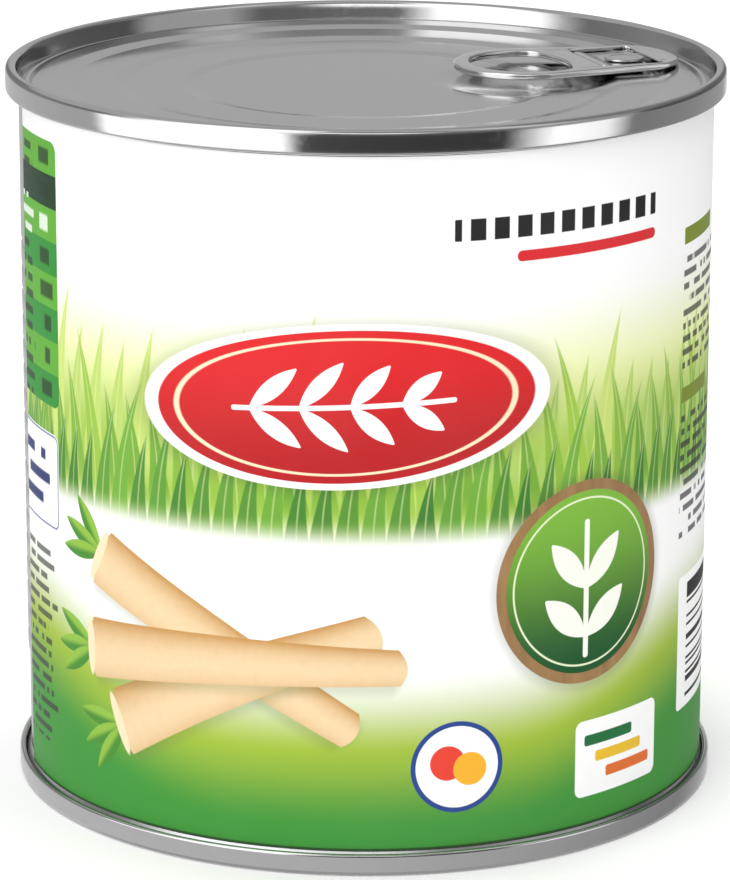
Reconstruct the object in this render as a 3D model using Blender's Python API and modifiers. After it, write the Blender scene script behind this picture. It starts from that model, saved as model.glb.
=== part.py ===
"""Sealed three-piece food can with a ring-pull end, a paper label and its packed root vegetable.

Metres, +Z up. The origin is the centre of the ring that the bottom seam stands on.
The can's axis is Z. The ring pull lies along a radius, at TAB_AZIMUTH from +X.
"""

import math

import bmesh
import bpy
from mathutils import Matrix, Vector

MM = 0.001

# Driving sizes
CAN_HEIGHT = 104.7 * MM
SEAM_RADIUS = 51.4 * MM
BASE_SEAM_RADIUS = 51.0 * MM
BODY_RADIUS = 49.55 * MM
BODY_SHEET = 0.20 * MM
END_SHEET = 0.22 * MM

# Double seams: five layers of sheet, folded into each other
SEAM_GAP = 0.11 * MM
SEAM_HEIGHT = 3.53 * MM
BASE_SEAM_HEIGHT = 3.10 * MM
RIM_ROUND = 0.42 * MM
FOLD_ROUND = 0.18 * MM
HOOK_START = 1.45 * MM
FLANGE_DEPTH = 0.80 * MM
BODY_HOOK_DEPTH = 2.00 * MM
FLARE_DEPTH = 2.50 * MM
COMPOUND_WIDTH = 0.24 * MM
COMPOUND_HEIGHT = 0.30 * MM
COMPOUND_DEPTH = 1.00 * MM

# Turned pieces share one division of the circle, so that their thin gaps hold all the way round
CIRCLE_STEPS = 36
MERGE = 0.01 * MM

# Beads rolled into the body wall
BEAD_COUNT = 17
BEAD_PITCH = 3.63 * MM
BEAD_DEPTH = 0.35 * MM
BEAD_LOWEST = 21.3 * MM
BASE_WALL_INSET = 0.25 * MM

# Easy-open end: radius of each corner, and depth of its upper face below the top of the seam
COUNTERSINK = [(49.32, 2.84), (49.14, 3.09), (48.86, 3.09)]
SCORED_EDGE = [(48.62, 2.44), (48.15, 2.47), (48.01, 2.57), (47.87, 2.49)]
PANEL_STEPS = [(44.70, 2.68), (42.10, 2.95), (36.00, 2.97), (34.20, 3.22), (26.20, 3.24), (24.60, 3.49)]
PANEL_MIDDLE = [(19.50, 3.49), (15.00, 3.49), (10.00, 3.49), (0.0, 3.49)]

# Plain bottom end: radius of each corner, and height of its middle line above the ground
BASE_RINGS = [
    (48.85, 3.60),
    (48.55, 3.95),
    (48.10, 3.95),
    (47.80, 3.20),
    (43.50, 3.20),
    (42.90, 2.60),
    (38.10, 2.60),
    (37.50, 3.20),
    (31.50, 3.20),
    (30.90, 2.60),
    (26.10, 2.60),
    (25.50, 3.20),
    (13.00, 3.20),
    (0.0, 3.20),
]

# Finger well under the ring
TAB_AZIMUTH = math.radians(19.0)
WELL_REACH = 22.0 * MM
WELL_HALF_LENGTH = 11.5 * MM
WELL_HALF_WIDTH = 10.0 * MM
WELL_DEPTH = 1.3 * MM

# Ring pull, as distances from the can's axis along its own radius
RING_TIP = 13.9 * MM
NOSE_TIP = 47.4 * MM
RING_HALF_WIDTH = 10.3 * MM
NOSE_HALF_WIDTH = 8.0 * MM
RING_ROUND = 10.5 * MM
NOSE_ROUND = 5.4 * MM
TAB_DEPTH = 1.52 * MM
TAB_THICKNESS = 0.80 * MM
TAB_EDGE_ROUND = 0.25 * MM
HOLE_START = 16.4 * MM
HOLE_END = 30.3 * MM
HOLE_MIDDLE = 24.0 * MM
HOLE_HALF_WIDTH = 8.4 * MM
CREASE = 33.6 * MM
CREASE_GAP = 0.30 * MM
WINDOW_END = 43.1 * MM
WINDOW_HALF_WIDTH = 7.2 * MM
SLOT_WIDTH = 0.80 * MM
TONGUE_DEPTH = 1.80 * MM
TONGUE_THICKNESS = 0.30 * MM
RIVET_REACH = 39.7 * MM
RIVET_STEM_RADIUS = 1.9 * MM
RIVET_HEAD_RADIUS = 2.9 * MM
RIVET_HOLE_RADIUS = 2.2 * MM
RIVET_HEAD_THICKNESS = 0.35 * MM
ISLAND_RADIUS = 2.9 * MM
ISLAND_FOOT_RADIUS = 4.1 * MM
ISLAND_FOOT_DEPTH = 3.08 * MM
SEAT_GAP = 0.12 * MM

# Paper label
LABEL_RADIUS = 49.88 * MM
LABEL_THICKNESS = 0.10 * MM
LABEL_START = math.radians(195.0)
LABEL_STEPS = 33
LABEL_STEP_ANGLE = math.radians(10.0)
LABEL_BOTTOM = 3.25 * MM
LABEL_TOP = 100.8 * MM

# Packed pieces of peeled root: two tiers of an outer ring and an inner ring
TIER_FLOOR = 3.65 * MM
TIER_GAP = 0.35 * MM
PIECE_LENGTH = 44.5 * MM
PIECE_LENGTH_SPREAD = 0.3 * MM
PIECE_SIDES = 10
OUTER_RING = (10, 36.7 * MM, 11.05 * MM)
INNER_RING = (4, 14.7 * MM, 10.15 * MM)

TAB_MIDDLE = CAN_HEIGHT - TAB_DEPTH - TAB_THICKNESS / 2
TONGUE_MIDDLE = CAN_HEIGHT - TONGUE_DEPTH - TONGUE_THICKNESS / 2


def clear_scene():
    for old in list(bpy.data.objects):
        bpy.data.objects.remove(old, do_unlink=True)


def new_collection(name):
    collection = bpy.data.collections.new(name)
    bpy.context.scene.collection.children.link(collection)
    return collection


def material(name, colour, roughness, metallic):
    made = bpy.data.materials.new(name)
    made.use_nodes = True
    shader = made.node_tree.nodes["Principled BSDF"]
    shader.inputs["Base Color"].default_value = (*colour, 1.0)
    shader.inputs["Roughness"].default_value = roughness
    shader.inputs["Metallic"].default_value = metallic
    return made


def add_object(name, data, collection, finish=None):
    made = bpy.data.objects.new(name, data)
    collection.objects.link(made)
    if finish:
        data.materials.append(finish)
    return made


def along_tab(reach, aside=0.0):
    """Point in plan at a distance out from the can's axis and a distance aside, along the ring pull."""
    x = reach * math.cos(TAB_AZIMUTH) - aside * math.sin(TAB_AZIMUTH)
    y = reach * math.sin(TAB_AZIMUTH) + aside * math.cos(TAB_AZIMUTH)
    return x, y


def sheet_outline(middle, thickness):
    """Closed outline, clockwise, of a sheet whose middle line is an open run of (radius, height) points."""
    points = [Vector(point) for point in middle]
    sides = ([], [])
    for index, point in enumerate(points):
        before = points[max(index - 1, 0)]
        after = points[min(index + 1, len(points) - 1)]
        into = (point - before).normalized() if index else (after - point).normalized()
        out = (after - point).normalized() if index < len(points) - 1 else into
        across = Vector((-(into + out).y, (into + out).x)).normalized()
        mitre = max(across.dot(Vector((-into.y, into.x))), 0.6)
        offset = across * (thickness / 2 / mitre)
        on_axis = point.x == 0
        step = Vector((0, thickness / 2)) if on_axis and across.y > 0 else offset
        step = Vector((0, -thickness / 2)) if on_axis and across.y < 0 else step
        sides[0].append(point + step)
        sides[1].append(point - step)
    outline = sides[0] + sides[1][::-1]
    area = sum(a.x * b.y - b.x * a.y for a, b in zip(outline, outline[1:] + outline[:1]))
    return outline if area < 0 else outline[::-1]


def turn(name, outline, collection, finish=None, closed=True, steps=CIRCLE_STEPS):
    """Turned solid: the outline's edges under a Screw modifier round Z."""
    mesh = bpy.data.meshes.new(name)
    edges = [(index, index + 1) for index in range(len(outline) - 1)]
    if closed:
        edges.append((len(outline) - 1, 0))
    mesh.from_pydata([(point[0], 0.0, point[1]) for point in outline], edges, [])
    made = add_object(name, mesh, collection, finish)
    screw = made.modifiers.new("turn", "SCREW")
    screw.steps = steps
    screw.render_steps = steps
    screw.use_merge_vertices = True
    screw.merge_threshold = MERGE
    screw.use_smooth_shade = True
    return made


def open_at_axis(outline):
    """The outline started at the axis, for a disc whose middle is closed by merging at the axis."""
    on_axis = [index for index, point in enumerate(outline) if point.x == 0]
    start = max(on_axis) if max(on_axis) - min(on_axis) == 1 else min(on_axis)
    return outline[start:] + outline[:start]


def evaluated_mesh(source):
    graph = bpy.context.evaluated_depsgraph_get()
    return bpy.data.meshes.new_from_object(source.evaluated_get(graph), depsgraph=graph)


def bead_points():
    """Rolled beads of the wall, bottom to top: crests at the wall's own radius, valleys rolled in."""
    middle = BODY_RADIUS - BODY_SHEET / 2
    points = []
    for index in range(BEAD_COUNT):
        height = BEAD_LOWEST + index * BEAD_PITCH
        points.append((middle - BEAD_DEPTH, height))
        points.append((middle, height + BEAD_PITCH / 2))
    return points


def seam_layers(seam_radius):
    """Middle-line radii of a seam's layers, from outside: end, body, end, body, end."""
    radii = []
    face = seam_radius
    for sheet in (END_SHEET, BODY_SHEET, END_SHEET, BODY_SHEET, END_SHEET):
        radii.append(face - sheet / 2)
        face -= sheet + SEAM_GAP
    return radii


def body_fold(seam_radius):
    """Middle line of the body's flange in a seam, wall first, as radii and depths into the seam."""
    _, hook, _, wall, _ = seam_layers(seam_radius)
    return [
        (wall, FLARE_DEPTH),
        (wall, FLANGE_DEPTH),
        (hook, FLANGE_DEPTH),
        (hook, BODY_HOOK_DEPTH),
    ]


def end_fold(seam_radius, seam_height):
    """Middle line of an end in its seam, hook first, as radii and depths into the seam."""
    outer, _, hook, _, chuck = seam_layers(seam_radius)
    rim = END_SHEET / 2
    fold = seam_height - END_SHEET / 2
    return [
        (hook, HOOK_START),
        (hook, fold - FOLD_ROUND),
        (hook + FOLD_ROUND, fold),
        (outer - FOLD_ROUND, fold),
        (outer, fold - FOLD_ROUND),
        (outer, rim + RIM_ROUND),
        (outer - RIM_ROUND, rim),
        (chuck + RIM_ROUND, rim),
        (chuck, rim + RIM_ROUND),
    ]


def make_can_body(collection, finish):
    """Welded tinplate tube: a flange hooked into each seam, and rolled beads between plain bands."""
    wall = BODY_RADIUS - BODY_SHEET / 2
    base_wall = wall - BASE_WALL_INSET
    foot_hook = body_fold(BASE_SEAM_RADIUS)[::-1]
    lower_band = [(base_wall, 3.50 * MM), (base_wall, BEAD_LOWEST - 1.5 * BEAD_PITCH / 2)]
    upper_band = [(wall, CAN_HEIGHT - 3.85 * MM)]
    head_hook = [(radius, CAN_HEIGHT - depth) for radius, depth in body_fold(SEAM_RADIUS)]
    middle = foot_hook + lower_band + bead_points() + upper_band + head_hook
    return turn("can_body", sheet_outline(middle, BODY_SHEET), collection, finish)


def top_end_middle():
    """Middle line of the easy-open end, from the hook inside the seam to the centre of the panel."""
    faces = COUNTERSINK + SCORED_EDGE + PANEL_STEPS + PANEL_MIDDLE
    pressed = [(radius * MM, depth * MM + END_SHEET / 2) for radius, depth in faces]
    run = end_fold(SEAM_RADIUS, SEAM_HEIGHT) + pressed
    return [(radius, CAN_HEIGHT - depth) for radius, depth in run]


def sink_finger_well(mesh):
    """Press the panel down under the ring, so that a fingertip gets below it."""
    for vertex in mesh.vertices:
        x, y, z = vertex.co
        reach = x * math.cos(TAB_AZIMUTH) + y * math.sin(TAB_AZIMUTH) - WELL_REACH
        aside = -x * math.sin(TAB_AZIMUTH) + y * math.cos(TAB_AZIMUTH)
        spread = min(math.hypot(reach / WELL_HALF_LENGTH, aside / WELL_HALF_WIDTH), 1.0)
        vertex.co.z = z - WELL_DEPTH * (1 - spread ** 2) ** 2


def make_rivet_form(cutters):
    """Solid that the panel's metal is raised into: an island, the rivet's stem and its flat head."""
    foot = CAN_HEIGHT - ISLAND_FOOT_DEPTH
    seat = CAN_HEIGHT - TONGUE_DEPTH - TONGUE_THICKNESS - SEAT_GAP
    head_base = CAN_HEIGHT - TONGUE_DEPTH + SEAT_GAP
    head_top = head_base + RIVET_HEAD_THICKNESS
    rounding = 0.12 * MM
    outline = [
        (0.0, head_top),
        (RIVET_HEAD_RADIUS - rounding, head_top),
        (RIVET_HEAD_RADIUS, head_top - rounding),
        (RIVET_HEAD_RADIUS, head_base),
        (RIVET_STEM_RADIUS, head_base),
        (RIVET_STEM_RADIUS, seat),
        (ISLAND_RADIUS, seat),
        (ISLAND_FOOT_RADIUS, foot),
        (0.0, foot),
    ]
    form = turn("rivet_form", outline, cutters, closed=False, steps=20)
    form.location = (*along_tab(RIVET_REACH), 0.0)
    form.hide_render = True
    form.display_type = "WIRE"
    return form


def make_top_end(collection, cutters, finish):
    """Easy-open end: seam, chuck wall, countersink, scored panel, finger well and its own rivet."""
    outline = open_at_axis(sheet_outline(top_end_middle(), END_SHEET))
    blank = turn("top_end_blank", outline, collection, closed=False)
    mesh = evaluated_mesh(blank)
    mesh.name = "top_end"
    bpy.data.objects.remove(blank, do_unlink=True)
    sink_finger_well(mesh)
    made = add_object("top_end", mesh, collection, finish)
    rivet = made.modifiers.new("rivet", "BOOLEAN")
    rivet.operation = "UNION"
    rivet.solver = "EXACT"
    rivet.object = make_rivet_form(cutters)
    return made


def base_end_middle():
    """Middle line of the plain bottom end, from the hook inside the seam to the centre."""
    pressed = [(radius * MM, height * MM) for radius, height in BASE_RINGS]
    return end_fold(BASE_SEAM_RADIUS, BASE_SEAM_HEIGHT) + pressed


def make_bottom_end(collection, finish):
    """Plain end: the seam that the can stands on, a countersink and two expansion rings."""
    outline = open_at_axis(sheet_outline(base_end_middle(), END_SHEET))
    return turn("bottom_end", outline, collection, finish, closed=False)


def make_seam_compound(name, seam_radius, low, collection, finish):
    """Ring of sealing compound flowed in between the end's hook and the body's flange."""
    radius = seam_layers(seam_radius)[2]
    inner = radius - COMPOUND_WIDTH / 2
    outer = radius + COMPOUND_WIDTH / 2
    high = low + COMPOUND_HEIGHT
    outline = [(outer, high), (outer, low), (inner, low), (inner, high)]
    return turn(name, outline, collection, finish)


def make_label(collection, finish):
    """Paper wrapped round the body, with its two ends a little apart beside the body's weld."""
    mesh = bpy.data.meshes.new("paper_label")
    start_x = LABEL_RADIUS * math.cos(LABEL_START)
    start_y = LABEL_RADIUS * math.sin(LABEL_START)
    mesh.from_pydata([(start_x, start_y, LABEL_TOP), (start_x, start_y, LABEL_BOTTOM)], [(0, 1)], [])
    made = add_object("paper_label", mesh, collection, finish)
    wrap = made.modifiers.new("wrap", "SCREW")
    wrap.angle = LABEL_STEPS * LABEL_STEP_ANGLE
    wrap.steps = LABEL_STEPS
    wrap.render_steps = LABEL_STEPS
    wrap.use_smooth_shade = True
    paper = made.modifiers.new("paper", "SOLIDIFY")
    paper.thickness = LABEL_THICKNESS
    paper.offset = 1.0
    return made


def tab_half_width(reach):
    """Half width of the ring pull at a distance from the can's axis: round ends and a straight taper."""
    straight = NOSE_TIP - NOSE_ROUND - RING_TIP - RING_ROUND
    share = min(max((reach - RING_TIP - RING_ROUND) / straight, 0.0), 1.0)
    width = RING_HALF_WIDTH + (NOSE_HALF_WIDTH - RING_HALF_WIDTH) * share
    ring_lack = max(RING_TIP + RING_ROUND - reach, 0.0) / RING_ROUND
    nose_lack = max(reach - NOSE_TIP + NOSE_ROUND, 0.0) / NOSE_ROUND
    return width * math.sqrt(max(1 - max(ring_lack, nose_lack) ** 2, 0.0))


def tab_outline(count=22):
    """Outside of the ring pull, as points from the hinge line, closer together at its ends."""
    upper = []
    for index in range(count + 1):
        share = (1 - math.cos(math.pi * index / count)) / 2
        reach = RING_TIP + (NOSE_TIP - RING_TIP) * share
        upper.append((reach - CREASE, tab_half_width(reach)))
    lower = [(x, -y) for x, y in upper[1:-1]]
    return upper + lower[::-1]


def finger_hole(count=28):
    """Finger hole: half an ellipse towards the can's middle, and a flatter curve towards the nose."""
    points = []
    for index in range(count):
        angle = 2 * math.pi * index / count
        across = math.cos(angle)
        flat = 1.0 if across < 0 else 0.55
        depth = HOLE_MIDDLE - HOLE_START if across < 0 else HOLE_END - HOLE_MIDDLE
        x = math.copysign(abs(across) ** flat, across) * depth
        y = math.copysign(abs(math.sin(angle)) ** 0.9, math.sin(angle)) * HOLE_HALF_WIDTH
        points.append((HOLE_MIDDLE + x - CREASE, y))
    return points


def rounded_box(low_x, high_x, half_width, radius, corner_steps=3):
    """Rectangle with rounded corners, as points."""
    corners = [
        (high_x - radius, half_width - radius, 0),
        (low_x + radius, half_width - radius, 1),
        (low_x + radius, radius - half_width, 2),
        (high_x - radius, radius - half_width, 3),
    ]
    points = []
    for centre_x, centre_y, quarter in corners:
        for index in range(corner_steps + 1):
            angle = (quarter + index / corner_steps) * math.pi / 2
            points.append((centre_x + radius * math.cos(angle), centre_y + radius * math.sin(angle)))
    return points


def plate(name, loops, thickness, rounding, collection, finish):
    """Flat plate from closed outlines, with rounded edges; inner outlines become holes."""
    curve = bpy.data.curves.new(name, "CURVE")
    curve.dimensions = "2D"
    curve.fill_mode = "BOTH"
    curve.extrude = thickness / 2 - rounding
    curve.bevel_depth = rounding
    curve.bevel_resolution = 0
    for loop in loops:
        spline = curve.splines.new("POLY")
        spline.points.add(len(loop) - 1)
        spline.use_cyclic_u = True
        for point, (x, y) in zip(spline.points, loop):
            point.co = (x, y, 0.0, 1.0)
    return add_object(name, curve, collection, finish)


def inset(loop, distance):
    """The loop drawn in by a distance, to allow for the bevel that a rounded edge adds outside it."""
    points = [Vector(point) for point in loop]
    moved = []
    for index, point in enumerate(points):
        before = points[index - 1]
        after = points[(index + 1) % len(points)]
        tangent = (after - before).normalized()
        moved.append(point + Vector((-tangent.y, tangent.x)) * distance)
    return [(point.x, point.y) for point in moved]


def make_pull_tab(collection, finish):
    """Ring pull: one pressed strip with curled edges, a finger hole and a window round its tongue."""
    window = rounded_box(CREASE_GAP / 2, WINDOW_END - CREASE, WINDOW_HALF_WIDTH, 0.5 * MM, 2)
    loops = [
        inset(tab_outline(), -TAB_EDGE_ROUND),
        inset(finger_hole(), -TAB_EDGE_ROUND),
        inset(window, -TAB_EDGE_ROUND),
    ]
    made = plate("pull_tab", loops, TAB_THICKNESS, TAB_EDGE_ROUND, collection, finish)
    made.location = (*along_tab(CREASE), TAB_MIDDLE)
    made.rotation_euler.z = TAB_AZIMUTH
    return made


def make_tongue(collection, finish):
    """Tongue of the ring pull, which stays flat on the panel under the rivet's head."""
    outline = rounded_box(
        CREASE_GAP * 1.5,
        WINDOW_END - SLOT_WIDTH - CREASE,
        WINDOW_HALF_WIDTH - SLOT_WIDTH,
        1.2 * MM,
    )
    hole = []
    for index in range(20):
        angle = 2 * math.pi * index / 20
        x = RIVET_REACH - CREASE + RIVET_HOLE_RADIUS * math.cos(angle)
        hole.append((x, RIVET_HOLE_RADIUS * math.sin(angle)))
    made = plate("tab_tongue", [outline, hole], TONGUE_THICKNESS, 0.0, collection, finish)
    made.location = (*along_tab(CREASE), TONGUE_MIDDLE)
    made.rotation_euler.z = TAB_AZIMUTH
    return made


def make_root_piece(name, radius, length, collection, finish):
    """Cut length of peeled root: a slightly tapered round stick with softened ends."""
    mesh = bpy.data.meshes.new(name)
    shape = bmesh.new()
    bmesh.ops.create_cone(
        shape,
        cap_ends=True,
        segments=PIECE_SIDES,
        radius1=radius,
        radius2=radius * 0.97,
        depth=length,
    )
    rims = [edge for edge in shape.edges if abs(edge.verts[0].co.z - edge.verts[1].co.z) < MERGE]
    bmesh.ops.bevel(shape, geom=rims, offset=0.8 * MM, segments=1, affect="EDGES")
    shape.to_mesh(mesh)
    shape.free()
    mesh.shade_smooth()
    mesh.set_sharp_from_angle(angle=math.radians(50))
    return add_object(name, mesh, collection, finish)


def pack_root_pieces(collection, finish):
    """Two tiers of upright pieces, each standing on what is below it."""
    number = 0
    for tier in range(2):
        for count, ring_radius, piece_radius in (OUTER_RING, INNER_RING):
            for index in range(count):
                number += 1
                angle = 2 * math.pi * index / count
                length = PIECE_LENGTH - PIECE_LENGTH_SPREAD * ((number * 7) % 3) / 2
                name = f"salsify_piece_{number:02d}"
                piece = make_root_piece(name, piece_radius, length, collection, finish)
                low = TIER_FLOOR + tier * (PIECE_LENGTH + TIER_GAP)
                x = ring_radius * math.cos(angle)
                y = ring_radius * math.sin(angle)
                piece.matrix_world = Matrix.Translation((x, y, low + length / 2))


def main():
    clear_scene()
    parts = new_collection("food_can")
    cutters = new_collection("cutters")
    tinplate = material("bare tinplate", (0.62, 0.63, 0.64), 0.28, 1.0)
    end_plate = material("lacquered end plate", (0.66, 0.67, 0.68), 0.32, 1.0)
    bright = material("polished pull tab", (0.78, 0.78, 0.79), 0.18, 1.0)
    compound = material("seam compound", (0.12, 0.12, 0.12), 0.7, 0.0)
    paper = material("printed paper", (0.80, 0.84, 0.74), 0.45, 0.0)
    root = material("peeled root", (0.86, 0.74, 0.52), 0.5, 0.0)
    make_can_body(parts, tinplate)
    make_top_end(parts, cutters, end_plate)
    make_bottom_end(parts, end_plate)
    compound_top = CAN_HEIGHT - COMPOUND_DEPTH - COMPOUND_HEIGHT
    make_seam_compound("top_seam_compound", SEAM_RADIUS, compound_top, parts, compound)
    make_seam_compound("bottom_seam_compound", BASE_SEAM_RADIUS, COMPOUND_DEPTH, parts, compound)
    make_label(parts, paper)
    make_tongue(parts, bright)
    make_pull_tab(parts, bright)
    pack_root_pieces(parts, root)


main()
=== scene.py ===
"""Looks of a sealed food can with a ring-pull end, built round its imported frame. Metres, +Z up."""

import math

import bmesh
import bpy
import numpy as np
from mathutils import Matrix, Vector
from mathutils.geometry import delaunay_2d_cdt


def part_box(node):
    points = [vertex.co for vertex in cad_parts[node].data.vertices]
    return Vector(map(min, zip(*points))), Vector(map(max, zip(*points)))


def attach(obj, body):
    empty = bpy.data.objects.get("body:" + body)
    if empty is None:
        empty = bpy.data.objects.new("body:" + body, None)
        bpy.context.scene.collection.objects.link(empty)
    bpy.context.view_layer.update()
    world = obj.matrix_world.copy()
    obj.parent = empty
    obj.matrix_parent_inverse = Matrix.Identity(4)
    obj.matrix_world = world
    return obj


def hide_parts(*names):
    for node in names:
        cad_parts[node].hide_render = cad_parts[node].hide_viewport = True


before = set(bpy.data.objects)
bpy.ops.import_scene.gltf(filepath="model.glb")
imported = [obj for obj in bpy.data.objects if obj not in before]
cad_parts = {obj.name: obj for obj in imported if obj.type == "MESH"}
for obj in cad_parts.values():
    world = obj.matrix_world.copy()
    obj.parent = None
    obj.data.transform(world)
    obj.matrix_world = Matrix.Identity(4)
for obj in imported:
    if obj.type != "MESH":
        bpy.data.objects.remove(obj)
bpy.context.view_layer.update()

# ---------------------------------------------------------------------------------------------------
# Camera: a long lens a little above the can, looking down at its front.
# ---------------------------------------------------------------------------------------------------
CAMERA_BACK = 0.62093
CAMERA_HEIGHT = 0.21860
CAMERA_PITCH = 0.2675
CAMERA_ROLL = 0.0028
CAMERA_LENS = 180.31

camera_data = bpy.data.cameras.new("studio_camera")
camera_data.lens = CAMERA_LENS
camera_data.clip_start = 0.02
camera = bpy.data.objects.new("studio_camera", camera_data)
bpy.context.scene.collection.objects.link(camera)
camera.matrix_world = (
    Matrix.Translation((0.0, -CAMERA_BACK, CAMERA_HEIGHT))
    @ Matrix.Rotation(math.pi / 2 - CAMERA_PITCH, 4, "X")
    @ Matrix.Rotation(CAMERA_ROLL, 4, "Z")
)
bpy.context.scene.camera = camera
bpy.context.scene.view_settings.view_transform = "Standard"

# ---------------------------------------------------------------------------------------------------
# Can body: a tube of tinplate, welded down its left side, with beads rolled into the wall to stiffen
# it. Both rims are flanged and folded into the seams that hold the ends.
# ---------------------------------------------------------------------------------------------------
MM = 0.001


class Value:
    """One socket of a finish's nodes, worked with like a number."""

    def __init__(self, tree, socket):
        self.tree = tree
        self.socket = socket

    def node(self, kind, settings=None, inputs=None, output=0):
        made = self.tree.nodes.new(kind)
        for name, value in (settings or {}).items():
            if name == "stops":
                ramp = made.color_ramp
                while len(ramp.elements) < len(value):
                    ramp.elements.new(0.5)
                for stop, (position, level) in zip(ramp.elements, value):
                    stop.position = position
                    stop.color = (*level, 1.0)
            else:
                setattr(made, name, value)
        for name, value in (inputs or {}).items():
            if isinstance(value, Value):
                self.tree.links.new(value.socket, made.inputs[name])
            else:
                made.inputs[name].default_value = value
        return Value(self.tree, made.outputs[output])

    def math(self, operation, *others):
        return self.node("ShaderNodeMath", {"operation": operation}, dict(enumerate((self, *others))))

    def __add__(self, other):
        return self.math("ADD", other)

    __radd__ = __add__

    def __sub__(self, other):
        return self.math("SUBTRACT", other)

    def __rsub__(self, other):
        return self.math("MULTIPLY_ADD", -1.0, other)

    def __mul__(self, other):
        return self.math("MULTIPLY", other)

    def __truediv__(self, other):
        return self.math("DIVIDE", other)

    def __neg__(self):
        return self.math("MULTIPLY", -1.0)

    def __abs__(self):
        return self.math("ABSOLUTE")

    def least(self, other):
        return self.math("MINIMUM", other)

    def most(self, other):
        return self.math("MAXIMUM", other)

    def ramp(self, low, high, to_low=0.0, to_high=1.0):
        """This value carried from one range to another, smoothly, and held beyond it."""
        return self.node(
            "ShaderNodeMapRange",
            {"interpolation_type": "SMOOTHSTEP"},
            {"Value": self, "From Min": low, "From Max": high, "To Min": to_low, "To Max": to_high},
        )


def finish_of(name, settings):
    """A new material: its Principled shader's plain numbers, and the first value for its nodes."""
    made = bpy.data.materials.new(name)
    made.use_nodes = True
    tree = made.node_tree
    shader = tree.nodes["Principled BSDF"]
    for socket, value in settings.items():
        shader.inputs[socket].default_value = value
    place = tree.nodes.new("ShaderNodeTexCoord")
    return made, Value(tree, place.outputs["Object"]), shader


def feed(shader, socket, value):
    value.tree.links.new(value.socket, shader.inputs[socket])


def parts_of(place):
    """The three numbers of a place, in millimetres."""
    split = place.node("ShaderNodeSeparateXYZ", None, {"Vector": place})
    outputs = split.socket.node.outputs
    return [Value(place.tree, outputs[index]) * 1000.0 for index in range(3)]


def mixed(factor, first, second):
    """A colour between two, by a factor."""
    return factor.node(
        "ShaderNodeMix",
        {"data_type": "RGBA"},
        {"Factor": factor, 6: first, 7: second},
        2,
    )


def grain(place, scale, detail=2.0, stretch=None):
    """Noise from 0 to 1, at a scale per metre, stretched by three factors."""
    if stretch:
        place = place.node("ShaderNodeMapping", None, {"Vector": place, "Scale": stretch})
    return place.node("ShaderNodeTexNoise", None, {"Vector": place, "Scale": scale, "Detail": detail})


def bumped(height, distance, strength=1.0):
    return height.node(
        "ShaderNodeBump", None, {"Height": height, "Distance": distance, "Strength": strength}
    )


def rounded(points, steps=6):
    """A run of (across, up, corner radius) points in millimetres, with its corners turned to arcs."""
    run = [np.array(points[0][:2], float)]
    for before, here, after in zip(points, points[1:], points[2:]):
        corner = np.array(here[:2], float)
        into = np.array(before[:2], float) - corner
        out = np.array(after[:2], float) - corner
        into_length, out_length = np.linalg.norm(into), np.linalg.norm(out)
        into /= into_length
        out /= out_length
        half = math.acos(max(-1.0, min(1.0, float(into @ out)))) / 2
        radius = here[2]
        if radius == 0 or half > 1.55:
            run.append(corner)
            continue
        reach = min(radius / math.tan(half), 0.49 * into_length, 0.49 * out_length)
        radius = reach * math.tan(half)
        middle = (into + out) / np.linalg.norm(into + out)
        centre = corner + middle * (radius / math.sin(half))
        start = corner + into * reach - centre
        end = corner + out * reach - centre
        sweep = math.atan2(start[0] * end[1] - start[1] * end[0], start @ end)
        for step in range(steps + 1):
            turn = sweep * step / steps
            c, s = math.cos(turn), math.sin(turn)
            run.append(centre + np.array([start[0] * c - start[1] * s, start[0] * s + start[1] * c]))
    run.append(np.array(points[-1][:2], float))
    return np.array(run)


def divided(run, longest):
    """The run with its long stretches cut up."""
    points = [run[0]]
    for start, end in zip(run, run[1:]):
        count = max(1, math.ceil(np.linalg.norm(end - start) / longest))
        points += [start + (end - start) * (step + 1) / count for step in range(count)]
    return np.array(points)


def sheet_section(middle, thickness):
    """Closed section of a sheet from its middle line."""
    tangent = np.gradient(middle, axis=0)
    tangent /= np.linalg.norm(tangent, axis=1)[:, None]
    across = np.stack([-tangent[:, 1], tangent[:, 0]], 1) * thickness / 2
    first, second = middle + across, middle - across
    for side in (first, second):
        side[middle[:, 0] == 0, 0] = 0.0
    return np.concatenate([first, second[::-1]])


def mesh_object(name, vertices, faces, finish, sharp=None):
    """A closed smooth mesh of these faces, its normals outwards."""
    mesh = bpy.data.meshes.new(name)
    mesh.from_pydata([tuple(v) for v in np.asarray(vertices, float)], [], faces)
    shape = bmesh.new()
    shape.from_mesh(mesh)
    bmesh.ops.recalc_face_normals(shape, faces=shape.faces)
    shape.to_mesh(mesh)
    shape.free()
    mesh.shade_smooth()
    if sharp:
        mesh.set_sharp_from_angle(angle=math.radians(sharp))
    mesh.materials.append(finish)
    made = bpy.data.objects.new(name, mesh)
    bpy.context.scene.collection.objects.link(made)
    return made


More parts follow.
